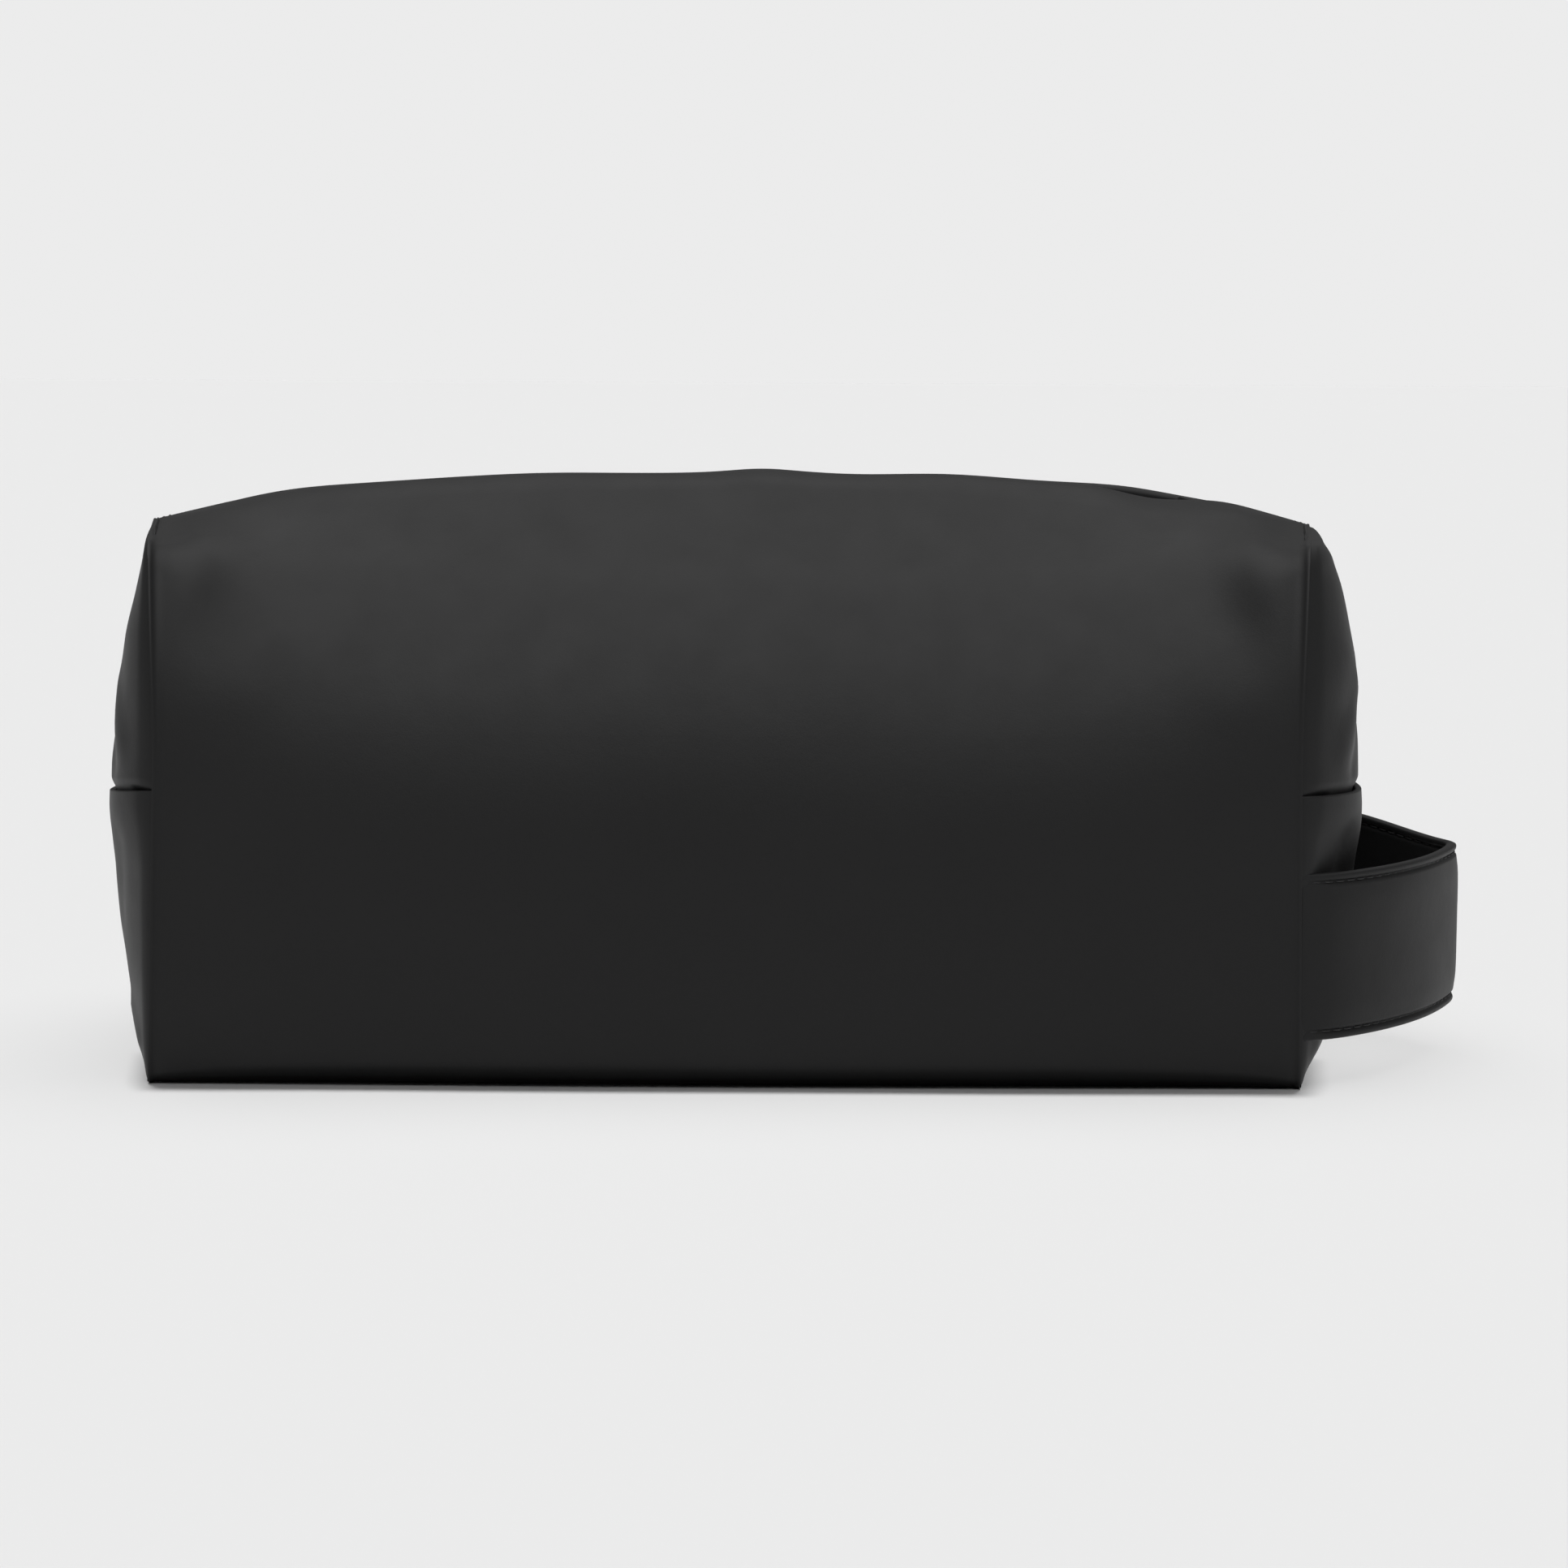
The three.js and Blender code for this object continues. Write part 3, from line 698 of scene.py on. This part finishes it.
def strap_stitches(plan, inward, walked):
    """Rows of thread lying in the grooves on both faces."""
    pitch, long, radius = 3.4, 2.5, 0.24
    length = walked[-1]
    vertices, faces, shares = [], [], []
    for start in np.arange(3.0, length - 5, pitch):
        for height in (STITCH_INSET, STRAP_HEIGHT - STITCH_INSET):
            for depth in (0.68, STRAP_THICK - 0.5):
                along = np.linspace(start, start + long, 6)
                sink = 0.3 * np.abs(np.linspace(-1, 1, 6)) ** 3 * (1 if depth < 1 else -1)
                centre = np.stack([np.interp(along, walked, plan[:, k]) for k in (0, 1)], -1)
                normal = np.stack([np.interp(along, walked, inward[:, k]) for k in (0, 1)], -1)
                base_index = len(vertices)
                for k in range(6):
                    xy = centre[k] + normal[k] * (depth + sink[k])
                    z = strap_height(height, along[k] / length)
                    for a in np.linspace(0, 2 * math.pi, 6, endpoint=False):
                        off = radius * math.cos(a) * normal[k]
                        vertices.append((*(xy + off), z + radius * math.sin(a)))
                        shares.append(float(strap_share(along[k], length)))
                for k in range(5):
                    for m in range(6):
                        n = (m + 1) % 6
                        a, b = base_index + k * 6, base_index + (k + 1) * 6
                        faces.append((a + m, b + m, b + n, a + n))
                faces.append(tuple(base_index + m for m in range(6)))
                faces.append(tuple(base_index + 30 + m for m in reversed(range(6))))
    mesh = bpy.data.meshes.new("strap_stitches")
    mesh.from_pydata((np.array(vertices) * MM).tolist(), [], faces)
    mesh.shade_smooth()
    piece = bpy.data.objects.new("strap_stitches", mesh)
    bpy.context.scene.collection.objects.link(piece)
    finished(piece, THREAD)
    swings(piece)


# ---- Zip -----------------------------------------------------------------------------------------
def zip_bed(x):
    """Height of the tapes' inner edges along the ridge: it levels out at the standing ends."""
    level = lip_height(ZIP_END_X) - TAPE_DROP
    return np.where(np.abs(x) > 118, mix(lip_height(118) - TAPE_DROP, level, smooth(np.abs(x), 114, 126)),
                    lip_height(x) - TAPE_DROP)


def zip_tape(side):
    name = "front" if side < 0 else "back"
    x = np.linspace(-136.5, 136.5, 160)
    t = np.linspace(0, 1, 9)[:, None]
    y = side * (1.3 * (1 - smooth(np.abs(x), 131.5, 133)) + 12.5 * t)
    z = zip_bed(x)[None] - 0.35 * 12.7 * t
    points = np.stack([x[None] + 0 * t, y, z], -1)
    piece = thicken(sheet_piece(f"{name}_tape", points, flip=side < 0), 0.7, 0.15)
    finished(piece, TAPED)
    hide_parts(f"{name}_zip_tape", *(("left_zip_end", "right_zip_end") if side < 0 else ()))
    return opens(piece)


def zip_coil(side):
    """One nylon coil: flat loops that cross the middle between the other side's loops."""
    name = "front" if side < 0 else "back"
    pitch, reach = 1.7, 131.0
    turns = int(2 * reach / pitch)
    t = np.linspace(0, turns, turns * 12 + 1)
    x = -reach + pitch * (t + (0.5 if side > 0 else 0))
    angle = 2 * math.pi * t
    y = side * (1.25 + 1.75 * np.cos(angle))
    z = zip_bed(x) + 1.25 + 0.8 * np.sin(angle)
    piece = tube(f"{name}_coil", np.stack([x, y, z], -1), 0.34, sides=6)
    finished(piece, NYLON)
    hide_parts(f"{name}_zip_teeth")
    return opens(piece)


# ---- Studio --------------------------------------------------------------------------------------
def camera():
    data = bpy.data.cameras.new("camera")
    data.lens = 86.8
    data.sensor_width = 36
    cam = bpy.data.objects.new("camera", data)
    bpy.context.scene.collection.objects.link(cam)
    cam.location = Vector((12.8, -(HALF_DEPTH + 850), 162)) * MM
    cam.rotation_euler = (math.radians(90 - PITCH), 0, 0)
    cam.rotation_euler.rotate_axis("Z", math.radians(ROLL))
    bpy.context.scene.camera = cam


def area_light(name, place, target, size, power):
    data = bpy.data.lights.new(name, "AREA")
    data.shape = "RECTANGLE"
    data.size, data.size_y = size
    data.energy = power
    lamp = bpy.data.objects.new(name, data)
    bpy.context.scene.collection.objects.link(lamp)
    lamp.location = place
    lamp.rotation_euler = (Vector(place) - Vector(target)).to_track_quat("Z", "Y").to_euler()
    return lamp


def gathered(name, pieces):
    group = bpy.data.collections.new(name)
    for piece in pieces:
        group.objects.link(piece)
    return group


def sun(name, tilt, spread, energy):
    lamp = bpy.data.objects.new(name, bpy.data.lights.new(name, "SUN"))
    lamp.data.energy = energy
    lamp.data.angle = math.radians(spread)
    lamp.rotation_euler = (math.radians(tilt), 0, 0)
    bpy.context.scene.collection.objects.link(lamp)
    return lamp


def surroundings():
    """A pale studio, brightest beside the bag."""
    world = bpy.data.worlds.new("studio")
    bpy.context.scene.world = world
    world.use_nodes = True
    world.cycles_visibility.diffuse = False
    tree = world.node_tree
    direction = tree.nodes.new("ShaderNodeTexCoord").outputs["Generated"]
    parts = tree.nodes.new("ShaderNodeSeparateXYZ")
    tree.links.new(direction, parts.inputs["Vector"])
    sideways = maths(tree, "MULTIPLY", maths(tree, "ABSOLUTE", parts.outputs["X"]), 0.8)
    towards = maths(tree, "SUBTRACT", sideways, maths(tree, "MULTIPLY", parts.outputs["Y"], 0.6))
    glow = tree.nodes.new("ShaderNodeMapRange")
    glow.inputs["From Min"].default_value = 0.55
    glow.inputs["From Max"].default_value = 0.95
    glow.inputs["To Min"].default_value = DIM
    glow.inputs["To Max"].default_value = BRIGHT
    tree.links.new(towards, glow.inputs["Value"])
    rays = tree.nodes.new("ShaderNodeLightPath")
    strength = tree.nodes.new("ShaderNodeMix")
    strength.inputs["B"].default_value = BACKDROP
    tree.links.new(rays.outputs["Is Camera Ray"], strength.inputs["Factor"])
    tree.links.new(glow.outputs["Result"], strength.inputs["A"])
    tree.links.new(strength.outputs["Result"], tree.nodes["Background"].inputs["Strength"])
    tree.nodes["Background"].inputs["Color"].default_value = (1, 1, 1, 1)


def studio():
    bpy.context.scene.view_settings.view_transform = "Standard"
    surroundings()
    pieces = [piece for piece in bpy.context.scene.objects if piece.type == "MESH"]
    floor = bpy.data.objects.new("floor", bpy.data.meshes.new("floor"))
    floor.data.from_pydata([(-60, -60, 0), (60, -60, 0), (60, 60, 0), (-60, 60, 0)], [], [(0, 1, 2, 3)])
    material, tree, shader = new_material("floor", (FLOOR_WHITE,) * 3, 1.0)
    shader.inputs["Specular IOR Level"].default_value = 0
    floor.data.materials.append(material)
    bpy.context.scene.collection.objects.link(floor)
    floor_only = gathered("floor_only", [floor])
    body = [piece for piece in pieces if piece.name.startswith(("front_wall", "back_wall", "base"))]
    casts_shadow = gathered("casts_shadow", body)
    for name, tilt, spread, share in (("floor_soft", -8, 64, 1 - STEEP), ("floor_steep", -6, 5, STEEP)):
        lamp = sun(name, tilt, spread, share * BACKDROP * math.pi / FLOOR_WHITE)
        lamp.light_linking.receiver_collection = floor_only
        lamp.light_linking.blocker_collection = casts_shadow
    whole = gathered("whole_bag", pieces)
    for lamp in (sun("front_light", 35, 50, 1.6), area_light("top_light", (0.0, 0.25, 1.3), (0, 0, 0.1), (1.6, 1.0), 9)):
        lamp.light_linking.receiver_collection = whole


camera()
for which in (-1, 1):
    wall(which)
    wall_lining(which)
    end_upper(which)
    end_lower(which)
    end_lining(which)
    zip_tape(which)
    zip_coil(which)
base()
strap()
for node in ("zip_slider", "zip_pull", "left_zip_stop", "right_zip_stop"):
    finished(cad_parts[node], PAINTED)
studio()
